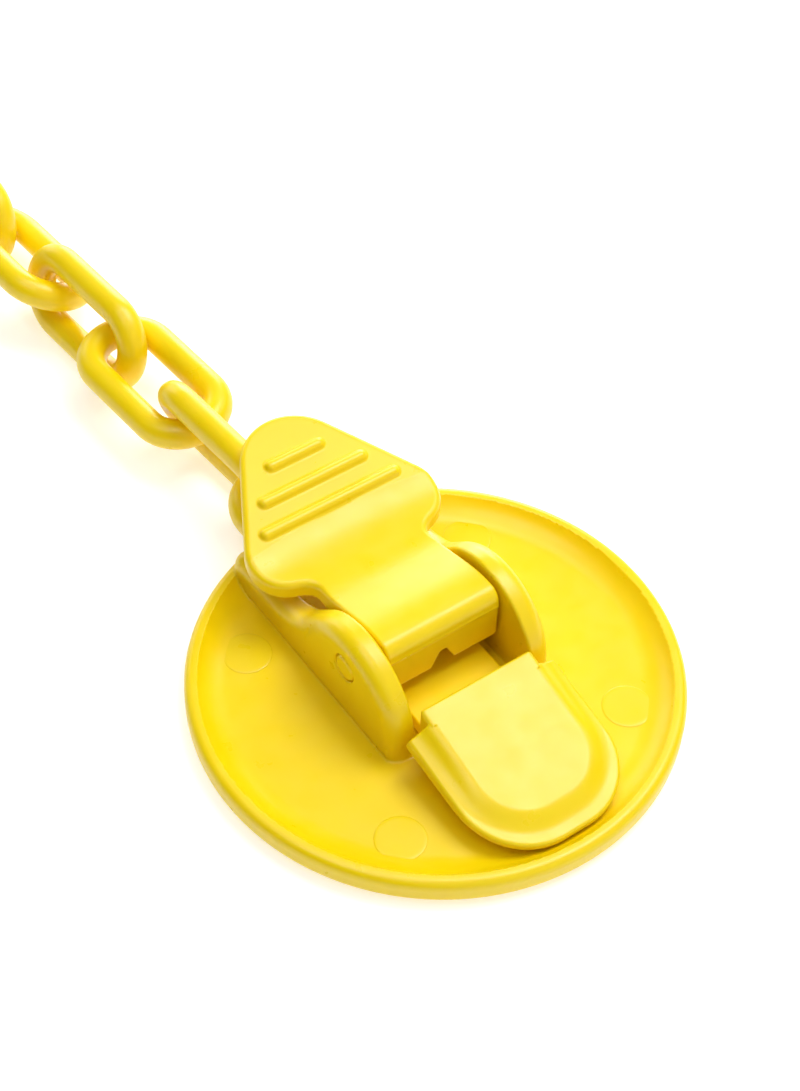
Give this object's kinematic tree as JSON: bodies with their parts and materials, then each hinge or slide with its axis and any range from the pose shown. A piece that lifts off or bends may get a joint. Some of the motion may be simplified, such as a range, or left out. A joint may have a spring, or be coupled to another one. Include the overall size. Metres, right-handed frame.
{
  "type": "garment clip with chain",
  "caption": "Round plastic garment clip with a cam lever and a tilting jaw on its back, a chain of moulded links and a plain end ring.",
  "frame": {"origin": "centre of the plain front face of the disc, which the clip lies on", "axes": "+Z out of the back of the disc towards the lever, +Y from the jaw towards the thumb tab and the chain, +X along the lever pivot"},
  "size_m": [0.0469, 0.1981, 0.0115],
  "materials": {
    "yellow_plastic": "gloss"
  },
  "bodies": {
    "clip_body": {"disc_base": "yellow_plastic"},
    "lever": {"cam_lever": "yellow_plastic"},
    "jaw": {"jaw": "yellow_plastic"},
    "link_01": {"chain_link_01": "yellow_plastic"},
    "link_02": {"chain_link_02": "yellow_plastic"},
    "link_03": {"chain_link_03": "yellow_plastic"},
    "link_04": {"chain_link_04": "yellow_plastic"},
    "link_05": {"chain_link_05": "yellow_plastic"},
    "link_06": {"chain_link_06": "yellow_plastic"},
    "link_07": {"chain_link_07": "yellow_plastic"},
    "link_08": {"chain_link_08": "yellow_plastic"},
    "link_09": {"chain_link_09": "yellow_plastic"},
    "link_10": {"chain_link_10": "yellow_plastic"},
    "link_11": {"chain_link_11": "yellow_plastic"},
    "end_ring": {"end_ring": "yellow_plastic"}
  },
  "joints": [
    {"name": "lever_pivot", "type": "hinge", "parent": "clip_body", "child": "lever", "pos_m": [0, 0.0019, 0.0074], "axis": [1, 0, 0], "range_deg": [0, 90]},
    {"name": "jaw_hinge", "type": "hinge", "parent": "clip_body", "child": "jaw", "pos_m": [0, 0.007, 0.0032], "axis": [1, 0, 0], "range_deg": [-8, 0]},
    {"name": "link_01_swing", "type": "hinge", "parent": "clip_body", "child": "link_01", "pos_m": [0, 0.0268, 0.0049], "axis": [1, 0, 0], "range_deg": [-65, 5]},
    {"name": "link_02_swing", "type": "hinge", "parent": "link_01", "child": "link_02", "pos_m": [-0.00281, 0.03948, 0.0051], "axis": [-0.0696, -0.0054, 0.9976], "range_deg": [-80, 80]},
    {"name": "link_03_swing", "type": "hinge", "parent": "link_02", "child": "link_03", "pos_m": [-0.00372, 0.05124, 0.0051], "axis": [-0.9631, -0.0741, 0.2588], "range_deg": [-80, 80]},
    {"name": "link_04_swing", "type": "hinge", "parent": "link_03", "child": "link_04", "pos_m": [-0.00462, 0.06301, 0.0051], "axis": [-0.4055, -0.0312, -0.9135], "range_deg": [-80, 80]},
    {"name": "link_05_swing", "type": "hinge", "parent": "link_04", "child": "link_05", "pos_m": [-0.00553, 0.07477, 0.0051], "axis": [0.9631, 0.0741, -0.2588], "range_deg": [-80, 80]},
    {"name": "link_06_swing", "type": "hinge", "parent": "link_05", "child": "link_06", "pos_m": [-0.00643, 0.08654, 0.0051], "axis": [0.4055, 0.0312, 0.9135], "range_deg": [-80, 80]},
    {"name": "link_07_swing", "type": "hinge", "parent": "link_06", "child": "link_07", "pos_m": [-0.00734, 0.0983, 0.0051], "axis": [-0.9631, -0.0741, 0.2588], "range_deg": [-80, 80]},
    {"name": "link_08_swing", "type": "hinge", "parent": "link_07", "child": "link_08", "pos_m": [-0.00825, 0.11007, 0.0051], "axis": [-0.4055, -0.0312, -0.9135], "range_deg": [-80, 80]},
    {"name": "link_09_swing", "type": "hinge", "parent": "link_08", "child": "link_09", "pos_m": [-0.00915, 0.12183, 0.0051], "axis": [0.9631, 0.0741, -0.2588], "range_deg": [-80, 80]},
    {"name": "link_10_swing", "type": "hinge", "parent": "link_09", "child": "link_10", "pos_m": [-0.01006, 0.1336, 0.0051], "axis": [0.4055, 0.0312, 0.9135], "range_deg": [-80, 80]},
    {"name": "link_11_swing", "type": "hinge", "parent": "link_10", "child": "link_11", "pos_m": [-0.01096, 0.14536, 0.0051], "axis": [-0.9631, -0.0741, 0.2588], "range_deg": [-80, 80]},
    {"name": "ring_swing", "type": "hinge", "parent": "link_11", "child": "end_ring", "pos_m": [-0.01187, 0.15713, 0.0051], "axis": [0.0129, -0.1678, -0.9857], "range_deg": [-45, 45]}
  ],
  "couplings": [
    {"joint": "jaw_hinge", "follows": "lever_pivot", "ratio": -0.0888}
  ]
}
